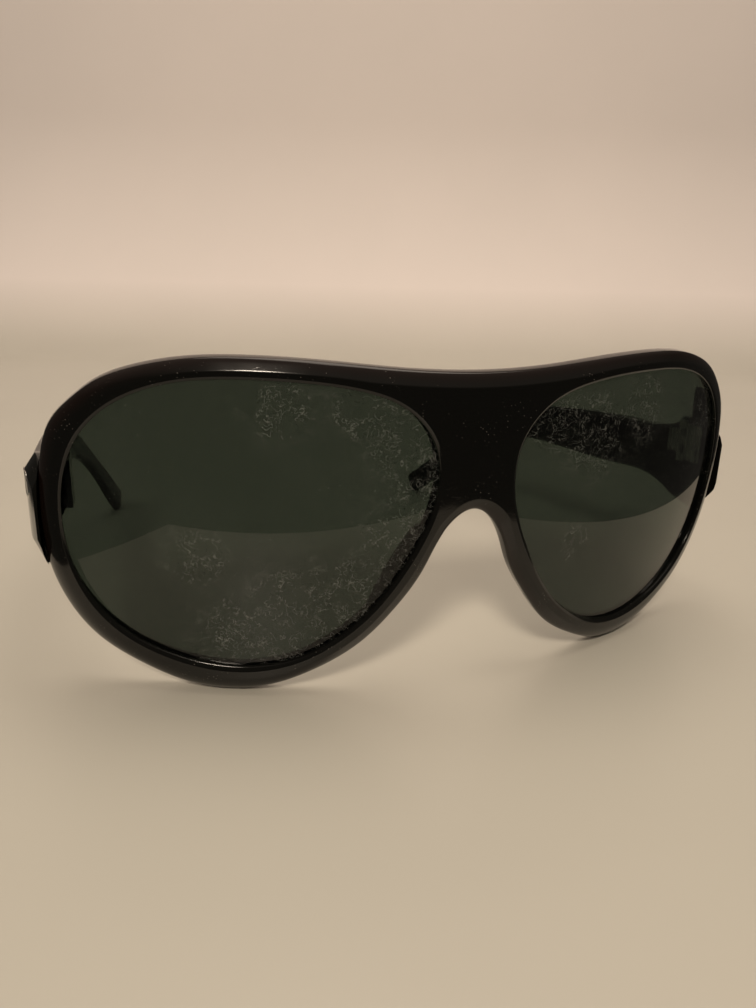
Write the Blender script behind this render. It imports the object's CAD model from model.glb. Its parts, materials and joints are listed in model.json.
import json
import math

import bmesh
import bpy
import numpy as np
from mathutils import Matrix, Vector
from mathutils.geometry import delaunay_2d_cdt


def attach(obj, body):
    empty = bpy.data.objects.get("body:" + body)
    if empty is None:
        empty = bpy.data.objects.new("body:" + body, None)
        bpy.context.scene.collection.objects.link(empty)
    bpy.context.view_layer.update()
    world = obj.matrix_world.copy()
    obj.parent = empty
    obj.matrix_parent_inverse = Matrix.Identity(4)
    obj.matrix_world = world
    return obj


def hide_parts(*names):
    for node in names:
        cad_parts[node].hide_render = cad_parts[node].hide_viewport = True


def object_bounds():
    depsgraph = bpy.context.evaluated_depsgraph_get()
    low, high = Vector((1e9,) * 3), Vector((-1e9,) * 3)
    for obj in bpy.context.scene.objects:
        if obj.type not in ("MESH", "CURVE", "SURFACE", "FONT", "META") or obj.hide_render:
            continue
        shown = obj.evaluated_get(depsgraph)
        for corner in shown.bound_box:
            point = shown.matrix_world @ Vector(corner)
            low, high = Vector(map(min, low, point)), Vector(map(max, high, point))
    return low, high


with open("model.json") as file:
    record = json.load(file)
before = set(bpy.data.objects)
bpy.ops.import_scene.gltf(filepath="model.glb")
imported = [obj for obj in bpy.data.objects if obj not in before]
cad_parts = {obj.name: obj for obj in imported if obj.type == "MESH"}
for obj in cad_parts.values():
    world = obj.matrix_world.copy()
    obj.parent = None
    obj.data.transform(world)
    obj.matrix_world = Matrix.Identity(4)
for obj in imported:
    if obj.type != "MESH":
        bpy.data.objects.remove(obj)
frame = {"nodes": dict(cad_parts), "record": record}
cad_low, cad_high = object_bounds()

# The looks of the wraparound sunglasses. Shapes are drawn in millimetres in the CAD model's
# drawing frame (y = 0 at the middle of the front's outer face, z = 0 just under the lens
# openings) and are moved to the row frame, in metres, when each mesh is made.
MM = 0.001
SIDES = {"left": 1.0, "right": -1.0}

# Front: one torus, leaning forward at the top
WRAP_RADIUS = 127.9
CROWN_RADIUS = 253.4
CROWN_HEIGHT = 28.5
FRONT_TILT = math.radians(4.8)
RIM_DEPTH = 4.2

# Half of the front's outline, from the top of the bridge round to the nose arch (x, z)
OUTLINE = [
    (0.0, 56.3), (15.2, 56.9), (27.0, 57.8), (38.0, 58.1), (47.5, 57.5), (55.4, 55.7),
    (61.8, 52.9), (66.8, 48.8), (70.5, 44.4), (72.7, 37.8), (73.7, 27.5), (73.2, 18.7),
    (70.6, 10.1), (65.8, 3.1), (59.0, -1.5), (50.4, -5.3), (43.4, -6.1), (37.0, -5.2),
    (28.8, -1.4), (20.2, 4.4), (13.8, 12.0), (8.8, 20.0), (5.4, 27.6), (0.0, 31.8),
]

# Lens opening of the +X side (x, z)
OPENING = [
    (37.1, 54.7), (51.4, 53.3), (58.7, 50.2), (64.9, 44.6), (68.6, 36.9), (69.8, 28.5),
    (69.0, 19.9), (65.8, 11.9), (59.9, 5.7), (52.3, 2.0), (44.6, 0.4), (37.1, 0.7),
    (30.2, 2.9), (24.5, 6.7), (19.7, 11.2), (12.5, 21.9), (9.4, 28.5), (7.4, 36.5),
    (8.7, 44.8), (14.6, 51.0), (22.6, 53.6),
]
LENS_CENTRE = (37.1, 28.5)
LENS_INSET = 1.2
LENS_THICKNESS = 2.0
LENS_BITE = 1.0
LENS_EDGE_ROUND = 0.25
LENS_PLAY = 0.05

# Outer edges of the front: a flat bevel along the top and bridge, wider at the nose arch,
# and a convex curve round the ends. The slope and depth are shares of the width.
WIDE_BEVEL = 2.4
NOTCH_BEVEL = 2.9
BEVEL_SLOPE = 0.55
BEVEL_LIMIT = 0.58
BEVEL_STRAIGHT = 0.65
CURVE_SHARE = 0.60
CURVE_DEPTH = 0.75
OUTER_STRIP = 0.12
BACK_ROUND = 0.8
BACK_STRIP = 0.2

# Edges round the lenses: a sloped lip in front of the groove and a rounded lip behind it
LIP_WIDTH = 0.55
LIP_SHARE = 0.15
LIP_SLOPE = 0.6
LIP_DROP = 0.75
LIP_FRONT_ROUNDS = (0.08, 0.14)
LIP_BACK_ROUNDS = (0.1, 0.4)
LIP_BACK_STRIP = 0.7
INNER_STRIP = 0.1

# Where the flat bevel gives way to the curve: x along the top and along the bottom, and
# the heights between which the bottom becomes the top
TOP_SPREAD = (44.0, 64.0)
LOW_SPREAD = (20.0, 32.0)
LOWER_PART = (12.0, 34.0)

# Distance from the outer edge over which the plastic's colour changes
EDGE_BAND = (0.2, 2.2)

# Points round the outline and round each opening, the spacing of the points that fill the
# flat faces, and the rings of points across a lens
OUTLINE_COUNT = 720
OPENING_COUNT = 300
FACE_SPACING = 1.3
LENS_RINGS = 34

# Moulded nose pads
PAD_ROOT = (12.0, 18.5)
PAD_TIP = (13.0, 18.2)
PAD_ROOT_RADII = (11.5, 2.0)
PAD_TIP_RADII = (10.0, 1.3)
PAD_REACH = 9.0
PAD_ANGLE = math.radians(118.0)
PAD_START = 3.4
PAD_FLARE = (0.5, 0.4)
PAD_FLARE_POWER = 2.5
PAD_FLARE_END = 6.0
PAD_CAP = 1.3
PAD_END_RADIUS = 0.02

# Lugs behind the front's outer corners (x, z)
LUG = [
    (68.2, 48.2), (70.0, 46.0), (72.2, 39.6), (73.2, 30.5), (73.2, 22.8), (70.4, 22.8),
    (70.4, 27.5), (68.2, 31.5),
]
LUG_SINK = 2.2
LUG_BACK = 26.2
LUG_ROUND = 0.45

# Eased back edge of a lug: distance before its back face and how far the edge draws in
LUG_EASE = [(0.5, 0.0), (0.2, 0.08), (0.0, 0.4)]

# Hinge line and the leaf let into each temple
HINGE = (69.0, 28.0, 35.0)
LEAF_LOW = (70.6, 28.0, 31.4)
LEAF_HIGH = (71.7, 33.8, 37.0)
LEAF_PLAY = 0.06
POCKET_MOUTH = 1.0

# Temple of the +X side: seen from above (x, y) and from the side (y, z)
TEMPLE_OUTSIDE = [
    (74.3, 20.6), (75.3, 24.2), (76.2, 29.5), (76.5, 40.0), (76.2, 60.0), (74.9, 85.0),
    (72.3, 100.0), (69.4, 113.0), (65.9, 127.0), (62.4, 141.0),
]
TEMPLE_INSIDE = [
    (70.6, 21.0), (70.6, 34.0), (71.8, 44.0), (72.0, 60.0), (71.2, 85.0), (69.1, 100.0),
    (66.5, 113.0), (62.9, 127.0), (59.2, 141.0),
]
TEMPLE_TOP = [
    (20.0, 37.0), (25.0, 39.3), (29.5, 39.3), (34.0, 37.6), (38.0, 36.6), (50.0, 36.2),
    (74.0, 34.8), (88.0, 32.4), (100.0, 27.2), (113.0, 18.8), (127.0, 8.6), (135.0, 2.2),
]
TEMPLE_TIP = (137.6, -2.6)
TEMPLE_BOTTOM = [
    (20.0, 20.3), (24.0, 18.9), (28.0, 19.0), (33.0, 21.0), (38.0, 23.0), (50.0, 23.4),
    (78.0, 23.5), (91.0, 22.9), (101.0, 20.2), (110.5, 14.7), (121.0, 6.0), (128.5, -1.0),
    (134.0, -5.2),
]
TEMPLE_GAP = 0.15
TEMPLE_FRONT = 26.4
TEMPLE_START = 20.7
CORNER_START = 58.0
ROOM_SPACING = 2.0

# Bevels of the temple's outer edges, as (height, depth), behind and at the front end, the
# shares of the section that they may take, and the y over which they change
TOP_BEVEL = [(1.5, 0.9), (3.0, 2.1)]
TOP_BEVEL_LIMIT = (0.3, 0.4)
LOW_BEVEL = [(1.9, 1.0), (5.3, 2.1)]
LOW_BEVEL_LIMIT = (0.34, 0.42)
BEVEL_CHANGE = (33.0, 41.0)
INNER_EASE = 0.9
INNER_EASE_LIMIT = (0.25, 0.3)

# Rounding of the section's eight corners, in millimetres on a section this high and thick,
# and the distance from the tip over which the section narrows
CORNER_CUTS = [0.25, 0.35, 0.35, 0.25, 0.5, 0.5, 0.5, 0.5]
SECTION_HEIGHT = 6.0
SECTION_THICKNESS = 4.5
TIP_NARROWING = 3.4

# Shares of the temple's length where its dense front end stops and its dense tip starts
DENSE_FRONT = 0.16
DENSE_TIP = 0.94
LAST_STATION = 0.9997

# How far in from fully open the left temple rests
LEFT_TEMPLE_TURN = math.radians(11.0)

# Plaque on the temple's outer face (y, z)
PLAQUE_CENTRE = (27.6, 34.1)
PLAQUE_LENGTH = 8.4
PLAQUE_HEIGHT = 5.0
FIELD_EDGE = 0.705

# Section of the plaque from its sunk edge to its middle: share of the radius, height
PLAQUE_SECTION = [
    (1.0, -0.45), (1.0, 0.04), (0.96, 0.11), (0.90, 0.14), (0.80, 0.14), (0.74, 0.11),
    (0.71, 0.03), (0.68, 0.02), (0.34, 0.035), (0.02, 0.04),
]

# Worn areas of the lenses: centre on the front (x, z) and radius, and the share of the
# radius over which the wear is full
WORN_CORE = 0.45
WORN_SPOTS = [
    (-31.0, 11.0, 17.0), (-20.0, 16.0, 13.0), (-14.0, 25.0, 12.0), (-10.0, 36.0, 11.0),
    (-13.0, 45.0, 12.0), (-20.0, 51.0, 10.0), (-41.0, 8.0, 12.0), (-48.0, 23.0, 9.0),
    (-34.0, 50.0, 8.0), (16.0, 48.0, 11.0), (26.0, 44.0, 13.0), (38.0, 48.0, 10.0),
    (62.0, 44.0, 10.0), (24.0, 22.0, 7.0),
]


def hinge_offset():
    """Move from the drawing frame, in millimetres, to the row frame, in metres."""
    for joint in frame["record"]["behaviour"]["joints"]:
        if joint["name"] == "temple_left_fold":
            return np.array(joint["pos_m"]) - np.array(HINGE) * MM
    raise ValueError("no left hinge")


OFFSET = hinge_offset()


# ---- curves

def cubic_curve(points, closed, steps=60):
    """Dense points of the smooth cubic spline through the given points."""
    knots = np.array(points, float)
    if closed:
        knots = np.vstack([knots, knots[:1]])
    spans = np.linalg.norm(np.diff(knots, axis=0), axis=1)
    slopes = np.diff(knots, axis=0) / spans[:, None]
    count = len(knots)
    matrix = np.zeros((count, count))
    right = np.zeros((count, knots.shape[1]))
    for i in range(1, count - 1):
        matrix[i, i - 1] = spans[i - 1]
        matrix[i, i] = 2 * (spans[i - 1] + spans[i])
        matrix[i, i + 1] = spans[i]
        right[i] = 6 * (slopes[i] - slopes[i - 1])
    matrix[0, 0] = 1.0
    matrix[-1, -1] = 1.0
    if closed:
        matrix[0, -1] = -1.0
        matrix[-1, 0] = 2 * (spans[-1] + spans[0])
        matrix[-1, 1] = spans[0]
        matrix[-1, -2] = spans[-1]
        matrix[-1, -1] = 0.0
        right[-1] = 6 * (slopes[0] - slopes[-1])
    moments = np.linalg.solve(matrix, right)
    share = np.linspace(0, 1, steps, endpoint=False)[:, None]
    pieces = []
    for i in range(count - 1):
        near, far = 1 - share, share
        bend = (near**3 - near) * moments[i] + (far**3 - far) * moments[i + 1]
        pieces.append(near * knots[i] + far * knots[i + 1] + bend * spans[i] ** 2 / 6)
    pieces.append(knots[-1:])
    return np.vstack(pieces)


def along(curve, places):
    """Points of a dense curve at shares of its length."""
    steps = np.linalg.norm(np.diff(curve, axis=0), axis=1)
    length = np.concatenate([[0], np.cumsum(steps)])
    wanted = np.asarray(places) * length[-1]
    columns = [np.interp(wanted, length, curve[:, axis]) for axis in range(curve.shape[1])]
    return np.stack(columns, axis=-1)


def column(first, second):
    """Two arrays side by side, one row for each place."""
    return np.stack([first, second], axis=-1)


def even_loop(points, count):
    """A closed curve through the points, as evenly spaced points, counter-clockwise."""
    curve = cubic_curve(points, closed=True)
    loop = along(curve, np.arange(count) / count)
    turned = np.roll(loop, -1, axis=0)
    area = np.sum(loop[:, 0] * turned[:, 1] - turned[:, 0] * loop[:, 1])
    return loop if area > 0 else loop[::-1]


def inward_normals(loop):
    """Unit vectors to the inside of a counter-clockwise loop."""
    tangent = np.roll(loop, -1, axis=0) - np.roll(loop, 1, axis=0)
    tangent /= np.linalg.norm(tangent, axis=1)[:, None]
    return column(-tangent[:, 1], tangent[:, 0])


def distances(points, loop, chunk_size=4000):
    """Distance from each point to the nearest point of a loop."""
    nearest = []
    for chunk in np.array_split(points, max(1, len(points) // chunk_size)):
        gaps = chunk[:, None, :] - loop[None, :, :]
        nearest.append(np.sqrt((gaps**2).sum(-1).min(1)))
    return np.concatenate(nearest)


def inside(points, loop):
    """True for points inside a closed loop, by the even-odd rule."""
    x, z = points[:, :1], points[:, 1:]
    ax, az = loop[:, 0], loop[:, 1]
    bx, bz = np.roll(ax, -1), np.roll(az, -1)
    crosses = (az > z) != (bz > z)
    slope = (bx - ax) / np.where(bz == az, 1e-9, bz - az)
    return (crosses & (x < ax + (z - az) * slope)).sum(1) % 2 == 1


def smoothstep(limits, value):
    """0 below the first limit, 1 above the second and a smooth rise between them."""
    low, high = limits
    share = np.clip((value - low) / (high - low), 0, 1)
    return share * share * (3 - 2 * share)


def quadratic(start, corner, end, steps):
    """Points of a curve that sets off from start towards corner and arrives at end."""
    return [
        (1 - share) ** 2 * start + 2 * share * (1 - share) * corner + share**2 * end
        for share in np.linspace(0, 1, steps)
    ]


def rounded(corners, cuts, steps=5):
    """Path through corners, each inner corner eased off over its cut length.

    Every corner is an array with one row for each place along the edge."""
    path = [corners[0]]
    for before, corner, after, cut in zip(corners, corners[1:], corners[2:], cuts):
        to_before = before - corner
        to_after = after - corner
        start = corner + to_before * (cut / np.linalg.norm(to_before, axis=1))[:, None]
        end = corner + to_after * (cut / np.linalg.norm(to_after, axis=1))[:, None]
        path.extend(quadratic(start, corner, end, steps))
    path.append(corners[-1])
    return path


def x_at(line, y):
    """How far out an (x, y) line lies at each y."""
    return np.interp(y, line[:, 1], line[:, 0])


# ---- meshes

class Shape:
    """Vertices and faces of one piece in the drawing frame, in millimetres."""

    def __init__(self):
        self.points = []
        self.faces = []
        self.count = 0

    def add(self, points, faces):
        """New points, and faces that number them from 0."""
        self.points.append(np.asarray(points, float))
        self.faces.extend([tuple(int(i) + self.count for i in face) for face in faces])
        self.count += len(points)

    def grid(self, rows, closed=True):
        """Rows of points joined by four-sided faces. A closed row joins its own ends."""
        rows = np.asarray(rows)
        depth, width = rows.shape[:2]
        faces = []
        for row in range(depth - 1):
            low = row * width
            high = low + width
            for here in range(width if closed else width - 1):
                after = (here + 1) % width
                faces.append((low + here, low + after, high + after, high + here))
        self.add(rows.reshape(-1, 3), faces)

    def cap(self, row):
        """One flat face over a closed row of points."""
        self.add(row, [range(len(row))])

    def tube(self, rows):
        """Closed rows of points joined up, with a flat cap on both ends."""
        self.grid(rows)
        self.cap(rows[0])
        self.cap(rows[-1])

    def mesh(self, name, weld=0.002):
        """Blender mesh in millimetres, welded, with its faces turned outwards."""
        mesh = bpy.data.meshes.new(name)
        mesh.from_pydata(np.vstack(self.points).tolist(), [], self.faces)
        work = bmesh.new()
        work.from_mesh(mesh)
        bmesh.ops.remove_doubles(work, verts=work.verts, dist=weld)
        bmesh.ops.dissolve_degenerate(work, edges=work.edges, dist=weld / 4)
        bmesh.ops.recalc_face_normals(work, faces=work.faces)
        work.to_mesh(mesh)
        work.free()
        return mesh


def add_object(name, data):
    """A new object that holds a mesh, light or camera."""
    piece = bpy.data.objects.new(name, data)
    bpy.context.scene.collection.objects.link(piece)
    return piece


def in_row_frame(mesh, side=1.0):
    """Moves a mesh drawn on the +X side to the row frame, mirrored for the other side."""
    mesh.transform(Matrix.Diagonal((side * MM, MM, MM, 1.0)))
    mesh.transform(Matrix.Translation(Vector(OFFSET)))
    if side < 0:
        mesh.flip_normals()


def as_it_rests(mesh, side):
    """Turns a mesh of the left temple, still in millimetres, in by its resting angle."""
    if side > 0:
        hinge = Matrix.Translation(Vector(HINGE))
        turn = Matrix.Rotation(LEFT_TEMPLE_TURN, 4, "Z")
        mesh.transform(hinge @ turn @ hinge.inverted())


def shade(mesh, sharp_degrees=32.0):
    """Smooth shading with sharp edges where faces turn by more than the angle."""
    mesh.shade_smooth()
    mesh.set_sharp_from_angle(angle=math.radians(sharp_degrees))


def cut_with(piece, cutter):
    """Takes one closed mesh object out of another and removes the cutter."""
    boolean = piece.modifiers.new("cut", "BOOLEAN")
    boolean.operation = "DIFFERENCE"
    boolean.solver = "EXACT"
    boolean.object = cutter
    graph = bpy.context.evaluated_depsgraph_get()
    made = bpy.data.meshes.new_from_object(piece.evaluated_get(graph))
    piece.modifiers.clear()
    old = piece.data
    piece.data = made
    bpy.data.meshes.remove(old)
    bpy.data.meshes.remove(cutter.data)


# ---- front

def sheet_y(x, z, depth):
    """How far back a point of the untilted front lies, at a depth behind its outer face."""
    section = CROWN_RADIUS - np.sqrt((CROWN_RADIUS - depth) ** 2 - (z - CROWN_HEIGHT) ** 2)
    return WRAP_RADIUS - np.sqrt((WRAP_RADIUS - section) ** 2 - x**2)


def tilted(points):
    """Leans points of the untilted front forward at the top."""
    x, y, z = np.moveaxis(np.asarray(points, float), -1, 0)
    cosine, sine = math.cos(FRONT_TILT), math.sin(FRONT_TILT)
    return np.stack([x, y * cosine - z * sine, y * sine + z * cosine], axis=-1)


def on_front(flat, depth):
    """Flat (x, z) points put on the front's curved, tilted surface."""
    x, z = flat[..., 0], flat[..., 1]
    return tilted(np.stack([x, sheet_y(x, z, depth), z], axis=-1))


def patch(loops, spacing, clearance=0.6, tolerance=1e-6):
    """Triangles that fill a flat region: the first loop is its edge, the others are holes.

    Grid points stay clear of the loops by a share of their spacing."""
    inside_constraints = 1
    low, high = loops[0].min(0), loops[0].max(0)
    grid_x, grid_z = np.meshgrid(
        np.arange(low[0], high[0], spacing), np.arange(low[1], high[1], spacing)
    )
    grid = column(grid_x.ravel(), grid_z.ravel())
    keep = inside(grid, loops[0])
    for loop in loops:
        keep &= distances(grid, loop) > spacing * clearance
    for hole in loops[1:]:
        keep &= ~inside(grid, hole)
    points = np.vstack([*loops, grid[keep]])
    edges = []
    start = 0
    for loop in loops:
        count = len(loop)
        edges.extend((start + i, start + (i + 1) % count) for i in range(count))
        start += count
    flat = [Vector(point) for point in points.tolist()]
    made, _, faces, *_ = delaunay_2d_cdt(flat, edges, [], inside_constraints, tolerance)
    made = np.array([tuple(point) for point in made])
    faces = np.array(faces)
    middles = made[faces].mean(1)
    keep = inside(middles, loops[0])
    for hole in loops[1:]:
        keep &= ~inside(middles, hole)
    return made, faces[keep]


def edge_rows(loop, inward, profile):
    """Rows of a bevelled edge: each profile step offsets the loop and sets its depth."""
    rows = []
    for step in profile:
        flat = loop + inward * step[:, :1]
        rows.append(on_front(flat, step[:, 1]))
    return rows


def full_outline():
    """The front's outline, both halves, as an even loop."""
    mirrored = [(-x, z) for x, z in OUTLINE[-2:0:-1]]
    return even_loop(OUTLINE + mirrored, OUTLINE_COUNT)


def opening_loop(grow=0.0):
    """The +X lens opening, moved outwards from the lens centre by grow."""
    arms = np.array(OPENING) - np.array(LENS_CENTRE)
    reach = np.linalg.norm(arms, axis=1)[:, None]
    grown = np.array(LENS_CENTRE) + arms * (1 + grow / reach)
    return even_loop(grown.tolist(), OPENING_COUNT)


def roundness(flat):
    """Two shares at flat points of the rim: how convex it is, and how low it lies.

    It is flat along the top and bridge, and convex round the ends."""
    across = np.abs(flat[:, 0])
    lower = 1 - smoothstep(LOWER_PART, flat[:, 1])
    top_spread = smoothstep(TOP_SPREAD, across)
    low_spread = smoothstep(LOW_SPREAD, across)
    return top_spread + (low_spread - top_spread) * lower, lower


def bevel_steps(straight_steps=6, turn_steps=7):
    """Unit section of the flat bevel: straight down its slope, then turning into the side."""
    path = []
    for share in np.linspace(0, BEVEL_STRAIGHT, straight_steps + 1)[:-1]:
        path.append(np.array([1 - share, share]))
    turn_start = np.array([1 - BEVEL_STRAIGHT, BEVEL_STRAIGHT])
    corner = np.array([0.0, 1.0])
    turn_end = np.array([0.0, 2 - BEVEL_STRAIGHT])
    return path + quadratic(turn_start, corner, turn_end, turn_steps)


def outer_profile(loop, openings):
    """Outer edge: a flat bevel along the top and bridge, a convex curve round the ends."""
    rim = distances(loop, np.vstack(openings))
    convex, lower = roundness(loop)
    zero = np.zeros(len(loop))
    wanted = WIDE_BEVEL + (NOTCH_BEVEL - WIDE_BEVEL) * lower
    width = np.minimum(wanted, BEVEL_LIMIT * rim)
    drop = BEVEL_SLOPE * width
    curve_width = CURVE_SHARE * rim
    curve_drop = CURVE_DEPTH * curve_width
    face_end = (1 - convex) * width + convex * curve_width
    path = [column(face_end + OUTER_STRIP, zero)]
    steps = bevel_steps()
    for turn, (across, down) in zip(np.linspace(0, math.pi / 2, len(steps)), steps):
        flat = column(across * width, down * drop)
        curved = column((1 - math.sin(turn)) * curve_width, (1 - math.cos(turn)) * curve_drop)
        path.append(flat + (curved - flat) * convex[:, None])
    back = [
        path[-1],
        column(zero, zero + RIM_DEPTH),
        column(zero + BACK_ROUND + BACK_STRIP, zero + RIM_DEPTH),
    ]
    return path + rounded(back, [zero + BACK_ROUND])[1:]


def inner_profile(loop, outline):
    """Section of the edge round a lens: a sloped lip, the lens groove and the back lip."""
    rim = distances(loop, outline)
    convex, _ = roundness(loop)
    width = LIP_WIDTH + (LIP_SHARE * rim - LIP_WIDTH) * convex
    zero = np.zeros(len(loop))
    drop = np.minimum(LIP_SLOPE * width, LIP_DROP)
    groove = LENS_BITE + LENS_PLAY
    groove_near = LENS_INSET - LENS_PLAY
    groove_far = LENS_INSET + LENS_THICKNESS + LENS_PLAY
    front = [
        column(width + INNER_STRIP, zero),
        column(width, zero),
        column(zero, drop),
        column(zero, zero + groove_near),
    ]
    path = rounded(front, [zero + size for size in LIP_FRONT_ROUNDS])
    path.append(column(zero + groove, zero + groove_near))
    back = [
        column(zero + groove, zero + groove_far),
        column(zero, zero + groove_far),
        column(zero, zero + RIM_DEPTH),
        column(zero + LIP_BACK_STRIP, zero + RIM_DEPTH),
    ]
    return path + rounded(back, [zero + size for size in LIP_BACK_ROUNDS])


def pad_reaches(straight_steps=22, cap_steps=9):
    """Distances behind the front at which the pad's ovals lie, closer at its tip."""
    straight_end = PAD_REACH - PAD_CAP
    turns = np.linspace(0, math.pi / 2, cap_steps + 1)[1:]
    straight = np.linspace(PAD_START, straight_end, straight_steps)
    return np.concatenate([straight, straight_end + PAD_CAP * np.sin(turns)])


def pad_radii(y):
    """Radii of the pad's oval: flared into the rim and closed over the rounded tip."""
    share = y / PAD_REACH
    radii = np.array(PAD_ROOT_RADII) * (1 - share) + np.array(PAD_TIP_RADII) * share
    flare = max(0.0, (PAD_FLARE_END - y) / (PAD_FLARE_END - PAD_START))
    radii = radii + flare**PAD_FLARE_POWER * np.array(PAD_FLARE)
    past = max(0.0, (y - (PAD_REACH - PAD_CAP)) / PAD_CAP)
    closing = 1 - math.sqrt(max(0.0, 1 - past**2))
    return radii - closing * np.array([PAD_CAP, radii[1] - PAD_END_RADIUS])


def nose_pad(shape, side, turn_steps=72):
    """Moulded pad: an oval blade that flares into the rim and ends in a rounded tip."""
    turns = np.linspace(0, 2 * math.pi, turn_steps, endpoint=False)
    cosine, sine = math.cos(PAD_ANGLE), math.sin(PAD_ANGLE)
    rows = []
    for y in pad_reaches():
        share = y / PAD_REACH
        centre = np.array(PAD_ROOT) * (1 - share) + np.array(PAD_TIP) * share
        radii = pad_radii(y)
        across = np.cos(turns) * radii[0]
        through = np.sin(turns) * radii[1]
        x = centre[0] + across * cosine - through * sine
        z = centre[1] + across * sine + through * cosine
        rows.append(np.stack([side * x, np.full_like(x, y), z], axis=-1))
    shape.tube(tilted(np.array(rows)))


def lug_loop(corner_steps=5):
    """Flat outline of a lug with its corners eased."""
    outline = np.array(LUG)
    following = np.roll(outline, -1, axis=0)
    previous = np.roll(outline, 1, axis=0)
    points = []
    for before, corner, after in zip(previous, outline, following):
        to_before = (before - corner) / np.linalg.norm(before - corner)
        to_after = (after - corner) / np.linalg.norm(after - corner)
        start = corner + to_before * LUG_ROUND
        end = corner + to_after * LUG_ROUND
        points.extend(quadratic(start, corner, end, corner_steps))
    return np.array(points)


def lug(shape, side):
    """Block that carries the hinge, its front buried in the rim and its edges eased."""
    loop = lug_loop()
    arms = loop - loop.mean(0)
    outward = arms / np.linalg.norm(arms, axis=1)[:, None]
    buried = sheet_y(loop[:, 0], loop[:, 1], LUG_SINK)
    rows = [np.stack([side * loop[:, 0], buried, loop[:, 1]], axis=-1)]
    for before_back, pull in LUG_EASE:
        flat = loop - outward * pull
        y = np.full(len(flat), LUG_BACK - before_back)
        rows.append(np.stack([side * flat[:, 0], y, flat[:, 1]], axis=-1))
    shape.tube(rows)


def rim_attribute(mesh, outline):
    """Writes how near each vertex is to the front's outer edge, from 0 to 1."""
    places = np.empty(len(mesh.vertices) * 3)
    mesh.vertices.foreach_get("co", places)
    x, y, z = places.reshape(-1, 3).T
    cosine, sine = math.cos(FRONT_TILT), math.sin(FRONT_TILT)
    flat = column(x, z * cosine - y * sine)
    near = 1 - smoothstep(EDGE_BAND, distances(flat, outline))
    layer = mesh.attributes.new("near_edge", "FLOAT", "POINT")
    layer.data.foreach_set("value", near.astype(np.float32))


def make_front():
    """The one-piece front with its bevels, lens grooves, nose pads and lugs."""
    outline = full_outline()
    left = opening_loop()
    openings = [left, (left * np.array([-1.0, 1.0]))[::-1]]
    shape = Shape()
    profile = outer_profile(outline, openings)
    shape.grid(edge_rows(outline, inward_normals(outline), profile))
    front_loops = [outline + inward_normals(outline) * profile[0][:, :1]]
    back_loops = [outline + inward_normals(outline) * profile[-1][:, :1]]
    for opening in openings:
        outward = -inward_normals(opening)
        profile = inner_profile(opening, outline)
        shape.grid(edge_rows(opening, outward, profile))
        front_loops.append(opening + outward * profile[0][:, :1])
        back_loops.append(opening + outward * profile[-1][:, :1])
    for loops, depth in [(front_loops, 0.0), (back_loops, RIM_DEPTH)]:
        flat, faces = patch(loops, FACE_SPACING)
        shape.add(on_front(flat, depth), faces)
    for side in SIDES.values():
        nose_pad(shape, side)
        lug(shape, side)
    mesh = shape.mesh("front")
    rim_attribute(mesh, outline)
    in_row_frame(mesh)
    shade(mesh, 40.0)
    return add_object("front_moulding", mesh)


# ---- lenses

def lens_rows(edge_steps=4):
    """Rings of a lens from its front's middle, over the rounded edge, to its back's middle."""
    edge = opening_loop(grow=LENS_BITE)
    inward = inward_normals(edge)
    centre = np.array(LENS_CENTRE)
    near, far = LENS_INSET, LENS_INSET + LENS_THICKNESS
    fine = edge + inward * LENS_EDGE_ROUND
    scales = np.linspace(1, 0, LENS_RINGS)[:-1]
    turns = np.linspace(0, math.pi / 2, edge_steps)[1:]
    rows = [on_front(centre + (fine - centre) * scale, near) for scale in scales[::-1]]
    for angles, face, sign in [(turns, near, 1), (turns[::-1], far, -1)]:
        for angle in angles:
            flat = fine - inward * LENS_EDGE_ROUND * math.sin(angle)
            rows.append(on_front(flat, face + sign * LENS_EDGE_ROUND * (1 - math.cos(angle))))
    rows += [on_front(centre + (fine - centre) * scale, far) for scale in scales]
    return rows


def make_lens(name, side):
    """One curved lens, edged to fit the groove, with slightly rounded edges."""
    rows = lens_rows()
    shape = Shape()
    shape.grid(rows)
    for row, depth in [(rows[0], LENS_INSET), (rows[-1], LENS_INSET + LENS_THICKNESS)]:
        middle = on_front(np.array(LENS_CENTRE), depth)
        count = len(row)
        fan = [(i, (i + 1) % count, count) for i in range(count)]
        shape.add(np.vstack([row, middle[None]]), fan)
    mesh = shape.mesh(name)
    in_row_frame(mesh, side)
    shade(mesh)
    return add_object(name, mesh)


# ---- temples

def tip_arc(steps=20):
    """The tip's round end in the side view: two arcs that meet at its furthest point."""
    start, middle, end = (np.array(p) for p in (TEMPLE_TOP[-1], TEMPLE_TIP, TEMPLE_BOTTOM[-1]))
    rows = 2 * np.array([middle - start, end - start])
    right = np.array([middle @ middle - start @ start, end @ end - start @ start])
    centre = np.linalg.solve(rows, right)
    radius = np.linalg.norm(start - centre)
    from_top, at_tip, from_bottom = (
        math.atan2(*(p - centre)[::-1]) for p in (start, middle, end)
    )
    arcs = []
    for angle in (from_top, from_bottom):
        turns = np.linspace(angle, at_tip, steps)
        arcs.append(centre + radius * column(np.cos(turns), np.sin(turns)))
    return arcs


def side_lines():
    """Top and bottom edges of the temple seen from the side, which meet at its tip."""
    lines = []
    for points, arc in zip((TEMPLE_TOP, TEMPLE_BOTTOM), tip_arc()):
        line = np.vstack([cubic_curve(points, closed=False), arc[1:]])
        lines.append(line[line[:, 0] >= TEMPLE_START])
    return lines


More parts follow.
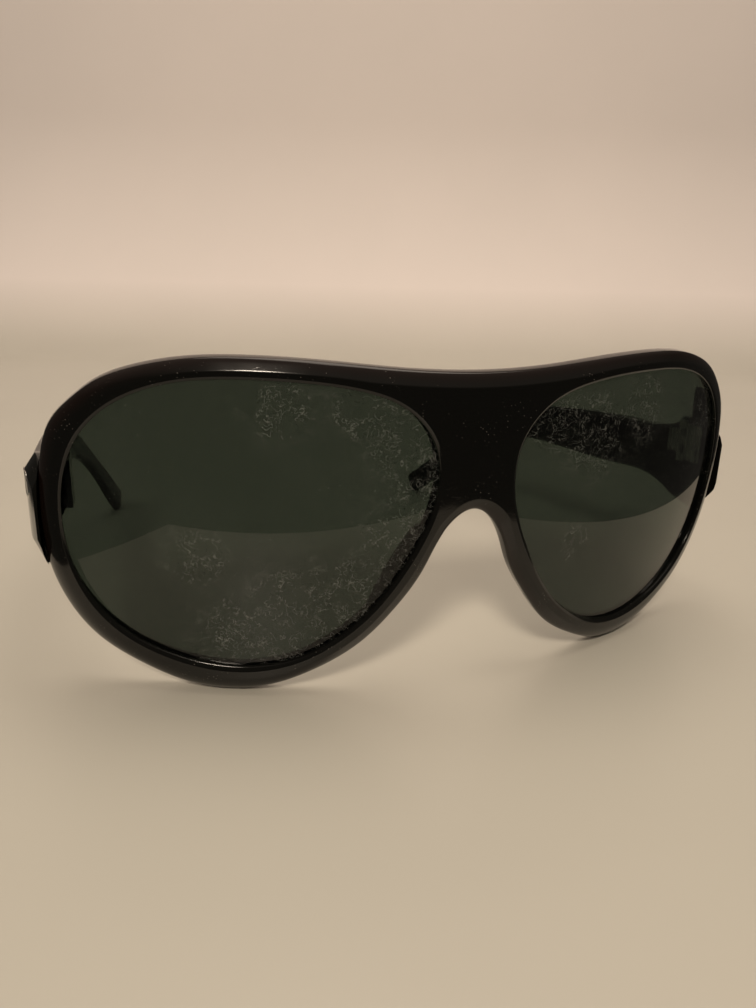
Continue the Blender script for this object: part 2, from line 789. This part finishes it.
def temple_stations(front_steps=44, middle_steps=109, tip_steps=24):
    """Shares of the temple's length, closer together at its front end and its tip."""
    front = np.linspace(0.0, DENSE_FRONT, front_steps)
    middle = np.linspace(DENSE_FRONT, DENSE_TIP, middle_steps + 1)[1:]
    turns = np.linspace(0, math.pi / 2, tip_steps + 2)[1:-1]
    tip = DENSE_TIP + (1 - DENSE_TIP) * np.sin(turns)
    return np.concatenate([front, middle, tip, [LAST_STATION]])


def bevel_at(sizes, limits, height, thick, ahead):
    """Height and depth of a bevel: ahead is 1 at the temple's front end and 0 behind it."""
    (high, deep), (front_high, front_deep) = sizes
    wanted_high = high + (front_high - high) * ahead
    wanted_deep = deep + (front_deep - deep) * ahead
    return np.minimum(wanted_high, limits[0] * height), np.minimum(wanted_deep, limits[1] * thick)


def section_corners(height, thick, y):
    """Corners of the temple's section: (share from inside to outside, distance down)."""
    ahead = 1 - smoothstep(BEVEL_CHANGE, y)
    top_high, top_deep = bevel_at(TOP_BEVEL, TOP_BEVEL_LIMIT, height, thick, ahead)
    low_high, low_deep = bevel_at(LOW_BEVEL, LOW_BEVEL_LIMIT, height, thick, ahead)
    ease = np.minimum(INNER_EASE_LIMIT[0] * height, INNER_EASE_LIMIT[1] * thick)
    ease = np.minimum(INNER_EASE, ease)
    one = np.ones_like(height)
    zero = np.zeros_like(height)
    return [
        column(one - top_deep / thick, zero),
        column(one, top_high),
        column(one, height - low_high),
        column(one - low_deep / thick, height),
        column(ease / thick, height),
        column(zero, height - ease),
        column(zero, ease),
        column(ease / thick, zero),
    ]


def section_path(height, thick, y):
    """Section of the temple at every station, with its corners rounded."""
    corners = section_corners(height, thick, y)
    ring = [corners[-1], *corners, corners[0]]
    shrink = np.minimum(1.0, height / SECTION_HEIGHT)
    cuts = [cut * shrink / SECTION_THICKNESS for cut in CORNER_CUTS]
    return rounded(ring, cuts, steps=4)[1:-1]


def temple_rows():
    """Sections of the temple, from its front end to its tip."""
    top, bottom = side_lines()
    places = temple_stations()
    high, low = along(top, places), along(bottom, places)
    drop = low - high
    height = np.linalg.norm(drop, axis=1)
    down = drop / height[:, None]
    outside = cubic_curve(TEMPLE_OUTSIDE, closed=False)
    inner = cubic_curve(TEMPLE_INSIDE, closed=False)
    middle_y = (high[:, 0] + low[:, 0]) / 2
    thick = x_at(outside, middle_y) - x_at(inner, middle_y)
    to_tip = np.linalg.norm(np.array(TEMPLE_TIP) - (high + low) / 2, axis=1)
    narrow = np.sqrt(1 - (1 - np.clip(to_tip / TIP_NARROWING, 0.0, 1.0)) ** 2)
    rows = []
    for step in section_path(height, thick, middle_y):
        side_view = high + down * step[:, 1:]
        y = side_view[:, 0]
        share = 0.5 + (step[:, 0] - 0.5) * narrow
        x = x_at(inner, y) + share * (x_at(outside, y) - x_at(inner, y))
        rows.append(np.stack([x, y, side_view[:, 1]], axis=-1))
    return np.array(rows).transpose(1, 0, 2)


def corner_region(gap):
    """Flat loop of the front's +X end, moved outwards by the gap and closed inboard."""
    outline = full_outline()
    grown = outline - inward_normals(outline) * gap
    end = grown[grown[:, 0] > CORNER_START]
    start = int(np.argmax(np.linalg.norm(end - np.roll(end, 1, axis=0), axis=1)))
    return np.roll(end, -start, axis=0)


def slab(name, loop, near, far):
    """Closed mesh over a flat loop between two depth functions of the flat points."""
    flat, faces = patch([loop], ROOM_SPACING)
    shape = Shape()
    for depth in (near, far):
        shape.add(depth(flat), faces)
    shape.grid([near(loop), far(loop)])
    return add_object(name, shape.mesh(name))


def at_level(y):
    """Depth function of an upright plane at one y, its heights tilted like the front's."""
    def upright(flat):
        points = tilted(np.stack([flat[:, 0], np.zeros(len(flat)), flat[:, 1]], axis=-1))
        points[:, 1] = y
        return points
    return upright


def fitted_to_front(piece):
    """Shapes the temple's front end to the rim's side wall and to its own butt face."""
    region = corner_region(TEMPLE_GAP)
    rim = slab(
        "rim_room", region,
        lambda flat: on_front(flat, -RIM_DEPTH),
        lambda flat: on_front(flat, RIM_DEPTH + TEMPLE_GAP),
    )
    cut_with(piece, rim)
    cut_with(piece, slab("butt_room", region, at_level(0.0), at_level(TEMPLE_FRONT)))


def leaf_pocket(piece):
    """Cuts the pocket that the hinge leaf lies in."""
    low = np.array(LEAF_LOW) - LEAF_PLAY
    high = np.array(LEAF_HIGH) + LEAF_PLAY
    low[0] = LEAF_LOW[0] - POCKET_MOUTH
    work = bmesh.new()
    bmesh.ops.create_cube(work, size=1.0)
    bmesh.ops.transform(work, matrix=Matrix.Diagonal((*(high - low), 1.0)), verts=work.verts)
    bmesh.ops.translate(work, vec=(low + high) / 2, verts=work.verts)
    mesh = bpy.data.meshes.new("leaf_room")
    work.to_mesh(mesh)
    work.free()
    cut_with(piece, add_object("leaf_room", mesh))


def make_temple(name, side):
    """One temple: bevelled bar with a deeper front end, bent down to a rounded tip."""
    shape = Shape()
    shape.tube(temple_rows())
    piece = add_object(name, shape.mesh(name, weld=0.0005))
    fitted_to_front(piece)
    leaf_pocket(piece)
    as_it_rests(piece.data, side)
    in_row_frame(piece.data, side)
    shade(piece.data)
    return piece


def field_attribute(mesh):
    """Marks the plaque's sunk field with 1 and its raised border with 0."""
    layer = mesh.attributes.new("field", "FLOAT", "POINT")
    straight = (PLAQUE_LENGTH - PLAQUE_HEIGHT) / 2
    for index, vertex in enumerate(mesh.vertices):
        along_pill = vertex.co.y - PLAQUE_CENTRE[0]
        past = max(0.0, abs(along_pill) - straight)
        reach = math.hypot(past, vertex.co.z - PLAQUE_CENTRE[1])
        layer.data[index].value = 1.0 if reach < FIELD_EDGE * PLAQUE_HEIGHT / 2 else 0.0


def make_plaque(name, side, half_steps=24):
    """Pill-shaped plate: a raised rounded border round a sunk, plain field."""
    outside = cubic_curve(TEMPLE_OUTSIDE, closed=False)
    radius = PLAQUE_HEIGHT / 2
    straight = PLAQUE_LENGTH / 2 - radius
    turns = np.linspace(-math.pi / 2, math.pi / 2, half_steps)
    rear = column(straight + radius * np.cos(turns), radius * np.sin(turns))
    edge = np.vstack([rear, -rear])
    middle = column(np.clip(edge[:, 0], -straight, straight), np.zeros(len(edge)))
    rows = []
    for scale, proud in PLAQUE_SECTION:
        flat = middle + (edge - middle) * scale
        y = PLAQUE_CENTRE[0] + flat[:, 0]
        z = PLAQUE_CENTRE[1] + flat[:, 1]
        rows.append(np.stack([x_at(outside, y) + proud, y, z], axis=-1))
    shape = Shape()
    shape.tube(rows)
    mesh = shape.mesh(name, weld=0.0005)
    field_attribute(mesh)
    as_it_rests(mesh, side)
    in_row_frame(mesh, side)
    shade(mesh, 50.0)
    return add_object(name, mesh)


# ---- materials

BLACK = (0.0040, 0.0041, 0.0036, 1)
EDGE_BLACK = (0.0075, 0.0042, 0.0034, 1)
DUST = (0.20, 0.18, 0.16, 1)
GLASS_TINT = (0.044, 0.060, 0.050, 1)
SCRATCH = (0.42, 0.44, 0.41, 1)
NICKEL = (0.62, 0.61, 0.57, 1)
SCREW_STEEL = (0.55, 0.55, 0.55, 1)
WIRE_STEEL = (0.50, 0.50, 0.50, 1)
SILVER = (0.80, 0.79, 0.76, 1)
DULL_SILVER = (0.52, 0.51, 0.49, 1)
ENAMEL = (0.012, 0.011, 0.011, 1)
DULL_ENAMEL = (0.030, 0.027, 0.025, 1)
TARNISH = 0.55


def new_material(name):
    """A material with an empty node tree and its output."""
    material = bpy.data.materials.new(name)
    material.use_nodes = True
    tree = material.node_tree
    tree.nodes.clear()
    return material, tree, tree.nodes.new("ShaderNodeOutputMaterial")


def put(tree, kind, values=None, links=None, **settings):
    """Adds a node, sets its properties and input values, and links its inputs."""
    node = tree.nodes.new("ShaderNode" + kind)
    for key, value in settings.items():
        setattr(node, key, value)
    for key, value in (values or {}).items():
        node.inputs[key].default_value = value
    for key, source in (links or {}).items():
        tree.links.new(source, node.inputs[key])
    return node


def place(tree):
    """Position in the row frame, which doesn't slide with the view."""
    return put(tree, "TexCoord").outputs["Object"]


def noise(tree, where, scale, detail=4.0, distortion=0.0):
    """Cloudy noise, from 0 to 1. The scale is in features per metre."""
    values = {"Scale": scale, "Detail": detail, "Distortion": distortion}
    return put(tree, "TexNoise", values, {"Vector": where}).outputs["Fac"]


def ramp(tree, source, low, high, start=0.0, end=1.0):
    """Maps a range of a value onto another one, clamped."""
    values = {"From Min": low, "From Max": high, "To Min": start, "To Max": end}
    return put(tree, "MapRange", values, {"Value": source}).outputs["Result"]


def maths(tree, operation, first, second):
    """Result of a Math node. Each input is a number or an output socket."""
    node = put(tree, "Math", operation=operation)
    for socket, value in zip(node.inputs, (first, second)):
        if isinstance(value, (int, float)):
            socket.default_value = value
        else:
            tree.links.new(value, socket)
    return node.outputs[0]


def blend_colours(tree, share, first, second):
    """Mix of two colours. Each is a colour or an output socket."""
    node = put(tree, "Mix", data_type="RGBA")
    tree.links.new(share, node.inputs["Factor"])
    for socket, value in zip((node.inputs[6], node.inputs[7]), (first, second)):
        if isinstance(value, tuple):
            socket.default_value = value
        else:
            tree.links.new(value, socket)
    return node.outputs[2]


def hairlines(tree, where, scale, thin, distortion, core=0.35):
    """Thin curly lines, where a noise passes through its middle value."""
    field = noise(tree, where, scale, 3.0, distortion)
    away = maths(tree, "ABSOLUTE", maths(tree, "SUBTRACT", field, 0.5), 0.0)
    return ramp(tree, away, thin, thin * core)


def specks(tree, where, scale, size, core=0.6):
    """Small round grains scattered at random."""
    cells = put(tree, "TexVoronoi", {"Scale": scale, "Randomness": 1.0}, {"Vector": where})
    return ramp(tree, cells.outputs["Distance"], size, size * core)


def in_patches(tree, where, marks, scale, low=0.50, high=0.66, detail=2.0):
    """Keeps marks only in the patches where a coarser noise is high."""
    patches = ramp(tree, noise(tree, where, scale, detail), low, high)
    return maths(tree, "MULTIPLY", marks, patches)


def black_plastic(name="black_plastic"):
    """Polished black plastic with smears, hairline scratches, dust and redder thin edges."""
    material, tree, output = new_material(name)
    where = place(tree)
    smears = noise(tree, where, 70.0, detail=5.0, distortion=0.4)
    lines = hairlines(tree, where, 260.0, thin=0.012, distortion=0.8)
    scratches = in_patches(tree, where, lines, 90.0, low=0.52)
    dust = in_patches(tree, where, specks(tree, where, 1500.0, size=0.13), 150.0)
    edge = put(tree, "Attribute", attribute_name="near_edge").outputs["Fac"]
    colour = blend_colours(tree, dust, blend_colours(tree, edge, BLACK, EDGE_BLACK), DUST)
    rough = ramp(tree, smears, 0.35, 0.70, start=0.07, end=0.17)
    rough = maths(tree, "ADD", rough, maths(tree, "MULTIPLY", dust, 0.4))
    height = maths(tree, "SUBTRACT", maths(tree, "MULTIPLY", smears, 0.15), scratches)
    bump = put(tree, "Bump", {"Strength": 0.12, "Distance": 0.00003}, {"Height": height})
    shader = put(
        tree, "BsdfPrincipled", {"IOR": 1.45},
        {"Base Color": colour, "Roughness": rough, "Normal": bump.outputs["Normal"]},
    )
    tree.links.new(shader.outputs[0], output.inputs["Surface"])
    return material


def worn_spots(tree, where):
    """Soft-edged areas of the lenses that carry most of the scratches."""
    cover = 0.0
    for x, z, radius in WORN_SPOTS:
        spot = on_front(np.array([x, z]), LENS_INSET) * MM + OFFSET
        away = put(tree, "VectorMath", {1: tuple(spot)}, {0: where}, operation="DISTANCE")
        near = ramp(tree, away.outputs["Value"], radius * MM, radius * MM * WORN_CORE)
        cover = maths(tree, "MAXIMUM", near, cover)
    return cover


def lens_marks(tree, where):
    """Curly scratches in the worn areas, finer ones nearly everywhere, and dust."""
    worn = worn_spots(tree, where)
    lines = hairlines(tree, where, 470.0, thin=0.014, distortion=0.9)
    broken = in_patches(tree, where, lines, 420.0, low=0.44, high=0.52, detail=3.0)
    scratches = maths(tree, "MULTIPLY", broken, worn)
    lines = hairlines(tree, where, 900.0, thin=0.018, distortion=0.5)
    broken = in_patches(tree, where, lines, 300.0, low=0.44, high=0.56)
    spread = maths(tree, "ADD", maths(tree, "MULTIPLY", worn, 0.75), 0.12)
    fine = maths(tree, "MULTIPLY", broken, spread)
    dust = in_patches(tree, where, specks(tree, where, 1100.0, size=0.12), 200.0)
    return maths(tree, "MAXIMUM", maths(tree, "MAXIMUM", scratches, fine), dust)


def tinted_glass(name="tinted_glass"):
    """Dark green-grey glass with matt scratches, dust and a thin film of grease."""
    material, tree, output = new_material(name)
    where = place(tree)
    film = ramp(tree, noise(tree, where, 40.0), 0.4, 0.8, start=0.0, end=0.012)
    cover = maths(tree, "ADD", maths(tree, "MULTIPLY", lens_marks(tree, where), 0.22), film)
    glass = put(
        tree, "BsdfPrincipled",
        {"Base Color": GLASS_TINT, "Roughness": 0.0, "IOR": 1.36, "Transmission Weight": 1.0},
    )
    matter = put(tree, "BsdfPrincipled", {"Base Color": SCRATCH, "Roughness": 0.7})
    surface = put(tree, "MixShader", links={0: cover, 1: glass.outputs[0], 2: matter.outputs[0]})
    clear = put(tree, "BsdfTransparent", {"Color": GLASS_TINT})
    path = put(tree, "LightPath")
    lit = put(
        tree, "MixShader",
        links={0: path.outputs["Is Shadow Ray"], 1: surface.outputs[0], 2: clear.outputs[0]},
    )
    tree.links.new(lit.outputs[0], output.inputs["Surface"])
    return material


def brushed_metal(name, colour, rough, stretch):
    """Satin metal with fine drawn lines, small scratches and a little tarnish."""
    material, tree, output = new_material(name)
    where = place(tree)
    drawn = put(tree, "Mapping", {"Scale": stretch}, {"Vector": where}).outputs[0]
    lines = noise(tree, drawn, 900.0, 3.0)
    tarnish = ramp(tree, noise(tree, where, 400.0, 3.0), 0.45, 0.75)
    dull = tuple(part * TARNISH for part in colour[:3]) + (1,)
    shade_of = blend_colours(tree, tarnish, colour, dull)
    roughness = ramp(tree, lines, 0.3, 0.7, rough - 0.08, rough + 0.12)
    bump = put(tree, "Bump", {"Strength": 0.2, "Distance": 0.00002}, {"Height": lines})
    shader = put(
        tree, "BsdfPrincipled", {"Metallic": 1.0},
        {"Base Color": shade_of, "Roughness": roughness, "Normal": bump.outputs["Normal"]},
    )
    tree.links.new(shader.outputs[0], output.inputs["Surface"])
    return material


def plaque_material(name):
    """Polished silver-coloured border round a field of dark enamel."""
    material, tree, output = new_material(name)
    where = place(tree)
    wear = noise(tree, where, 600.0, 4.0)
    silver = blend_colours(tree, ramp(tree, wear, 0.45, 0.75), SILVER, DULL_SILVER)
    enamel = blend_colours(tree, ramp(tree, wear, 0.40, 0.70), ENAMEL, DULL_ENAMEL)
    field = put(tree, "Attribute", attribute_name="field").outputs["Fac"]
    colour = blend_colours(tree, field, silver, enamel)
    rough = ramp(tree, wear, 0.3, 0.7, 0.14, 0.28)
    bump = put(tree, "Bump", {"Strength": 0.15, "Distance": 0.00002}, {"Height": wear})
    shader = put(
        tree, "BsdfPrincipled", {"IOR": 1.5},
        {
            "Base Color": colour, "Roughness": rough, "Normal": bump.outputs["Normal"],
            "Metallic": maths(tree, "SUBTRACT", 1.0, field),
        },
    )
    tree.links.new(shader.outputs[0], output.inputs["Surface"])
    return material


def floor_material():
    """Plain pale satin board, pinker and duller where it rises, with a faint mottle."""
    material, tree, output = new_material("floor")
    where = place(tree)
    mottle = ramp(tree, noise(tree, where, 6.0, 3.0), 0.3, 0.7)
    board = blend_colours(tree, mottle, *BOARD_COLOURS)
    wall = blend_colours(tree, mottle, *WALL_COLOURS)
    height = put(tree, "SeparateXYZ", links={0: where}).outputs["Z"]
    upright = ramp(tree, height, *WALL_STARTS)
    colour = blend_colours(tree, upright, board, wall)
    rough = ramp(tree, upright, 0.0, 0.5, 0.36, 0.95)
    shader = put(
        tree, "BsdfPrincipled", {"IOR": 1.45}, {"Base Color": colour, "Roughness": rough}
    )
    tree.links.new(shader.outputs[0], output.inputs["Surface"])
    return material


# ---- stage

CAMERA_PLACE = (-58.600, -118.327, 72.885)
CAMERA_YAW = math.radians(19.046)
CAMERA_PITCH = math.radians(-17.335)
CAMERA_ROLL = math.radians(1.371)
CAMERA_LENS = 27.12
SENSOR_WIDTH = 36.0
NEAREST_SEEN = 0.005

# Floor: a fan-shaped board, narrow near the camera and wide behind, swept up into a wall.
# Its front edge is just out of the camera's view, and it ends at the sides so that the
# lenses reflect a dark room there.
FLOOR_NEAR = 0.060
FLOOR_FAR = 0.62
FLOOR_BOARD = 0.03
FLOOR_SIDE_ROOM = 0.035
FLOOR_SPREAD = 0.56
EDGE_ROUND = 0.002
SWEEP_RADIUS = 0.22
BACKDROP_HEIGHT = 1.1
BOARD_COLOURS = [(0.52, 0.50, 0.44, 1), (0.55, 0.53, 0.465, 1)]
WALL_COLOURS = [(0.84, 0.775, 0.74, 1), (0.87, 0.80, 0.765, 1)]
WALL_STARTS = (0.002, 0.06)

# Lights: place, size across and along, power and colour
LIGHTS = {
    "lamp": ((-0.53, -1.06, 0.96), (0.22, 0.22), 12.5, (1.0, 0.86, 0.70)),
    "overhead": ((0.1, 0.05, 1.3), (1.0, 0.8), 8.0, (1.0, 0.86, 0.72)),
}
LIGHT_AIM = (0.0, -0.02, 0.02)
ROOM_LOW = (0.045, 0.040, 0.033, 1)
ROOM_HIGH = (0.34, 0.28, 0.23, 1)
ROOM_RISE = (0.35, 0.95)
BACKDROP = (0.69, 0.54, 0.43, 1)


def make_camera():
    """Camera at the reference's viewing angle."""
    data = bpy.data.cameras.new("camera")
    data.lens = CAMERA_LENS
    data.sensor_width = SENSOR_WIDTH
    data.clip_start = NEAREST_SEEN
    camera = add_object("camera", data)
    turn = Matrix.Rotation(-CAMERA_YAW, 4, "Z")
    turn = turn @ Matrix.Rotation(math.pi / 2 + CAMERA_PITCH, 4, "X")
    turn = turn @ Matrix.Rotation(CAMERA_ROLL, 4, "Z")
    spot = np.array(CAMERA_PLACE) * MM + OFFSET
    camera.matrix_world = Matrix.Translation(Vector(spot)) @ turn
    bpy.context.scene.camera = camera


def floor_section(edge_steps=9, sweep_steps=24):
    """Section of the floor, (ahead of the camera, up), from the underside of its edge."""
    section = [(FLOOR_NEAR + FLOOR_BOARD, -FLOOR_BOARD)]
    for angle in np.linspace(math.pi, math.pi / 2, edge_steps):
        ahead = FLOOR_NEAR + EDGE_ROUND * (1 + math.cos(angle))
        section.append((ahead, EDGE_ROUND * (math.sin(angle) - 1)))
    for angle in np.linspace(0, math.pi / 2, sweep_steps):
        ahead = FLOOR_FAR + SWEEP_RADIUS * math.sin(angle)
        section.append((ahead, SWEEP_RADIUS * (1 - math.cos(angle))))
    section.append((FLOOR_FAR + SWEEP_RADIUS, BACKDROP_HEIGHT))
    return np.array(section)


def make_floor():
    """Pale board that the sunglasses stand on, drawn along the camera's heading."""
    ahead, up = floor_section().T
    heading = np.array([math.sin(CAMERA_YAW), math.cos(CAMERA_YAW)])
    across = np.array([heading[1], -heading[0]])
    camera = np.array(CAMERA_PLACE) * MM + OFFSET
    reach = FLOOR_SIDE_ROOM + FLOOR_SPREAD * ahead
    rows = []
    for side in SIDES.values():
        flat = camera[:2] + np.outer(side * reach, across) + np.outer(ahead, heading)
        rows.append(np.hstack([flat, up[:, None] + cad_low[2]]))
    shape = Shape()
    shape.grid(rows, closed=False)
    mesh = shape.mesh("floor", weld=1e-6)
    mesh.shade_smooth()
    floor = add_object("floor", mesh)
    floor.data.materials.append(floor_material())


def area_light(name, spot, size, power, colour):
    """A rectangular lamp that shines at the sunglasses."""
    data = bpy.data.lights.new(name, "AREA")
    data.shape = "RECTANGLE"
    data.size, data.size_y = size
    data.energy = power
    data.color = colour
    light = add_object(name, data)
    light.location = spot
    light.rotation_euler = (Vector(LIGHT_AIM) - Vector(spot)).to_track_quat("-Z", "Y").to_euler()


def make_lights():
    """A wide overhead light, a lamp ahead of the sunglasses and a dim warm room."""
    for name, settings in LIGHTS.items():
        area_light(name, *settings)
    world = bpy.data.worlds.new("room")
    world.use_nodes = True
    tree = world.node_tree
    tree.nodes.clear()
    output = tree.nodes.new("ShaderNodeOutputWorld")
    direction = put(tree, "TexCoord").outputs["Generated"]
    split = put(tree, "SeparateXYZ", links={0: direction})
    up = ramp(tree, split.outputs["Z"], *ROOM_RISE)
    room = blend_colours(tree, up, ROOM_LOW, ROOM_HIGH)
    seen = put(tree, "LightPath").outputs["Is Camera Ray"]
    colour = blend_colours(tree, seen, room, BACKDROP)
    shader = put(tree, "Background", {"Strength": 1.0}, {"Color": colour})
    tree.links.new(shader.outputs[0], output.inputs["Surface"])
    bpy.context.scene.world = world


# ---- assembly

def dress(piece, material, slot, body, *nodes):
    """Gives a piece its material, slot, body and the CAD nodes that it stands for."""
    piece.data.materials.clear()
    piece.data.materials.append(material)
    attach(piece, body)
    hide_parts(*nodes)


def recolour(node, material):
    """Puts a material on a kept CAD node."""
    slots = frame["nodes"][node].data.materials
    if not slots:
        slots.append(material)
    for index in range(len(slots)):
        slots[index] = material


def make_sunglasses():
    """Every visible piece, dressed and riding on its body."""
    plastic = black_plastic()
    glass = tinted_glass()
    nickel = brushed_metal("hinge_nickel", NICKEL, rough=0.26, stretch=(1.0, 1.0, 0.12))
    screw = brushed_metal("screw_steel", SCREW_STEEL, rough=0.30, stretch=(1.0, 1.0, 0.3))
    wire = brushed_metal("wire_steel", WIRE_STEEL, rough=0.30, stretch=(0.2, 0.1, 1.0))
    silver = plaque_material("plaque_silver")
    dress(make_front(), plastic, "black_plastic", "front", "front_frame")
    for side, sign in SIDES.items():
        lens = make_lens("lens_glass_" + side, sign)
        dress(lens, glass, "tinted_glass", "front", "lens_" + side)
        temple = make_temple("temple_bar_" + side, sign)
        dress(temple, plastic, "black_plastic", "temple_" + side, "temple_" + side)
        badge = make_plaque("plain_plaque_" + side, sign)
        dress(badge, silver, "plaque_metal", "temple_" + side, "temple_plaque_" + side)
        recolour("hinge_front_" + side, nickel)
        recolour("hinge_temple_" + side, nickel)
        recolour("hinge_screw_" + side, screw)
        recolour("core_wire_" + side, wire)


make_camera()
make_floor()
make_lights()
make_sunglasses()
bpy.context.scene.cycles.use_denoising = True
bpy.context.scene.view_settings.view_transform = "Standard"
bpy.context.view_layer.update()
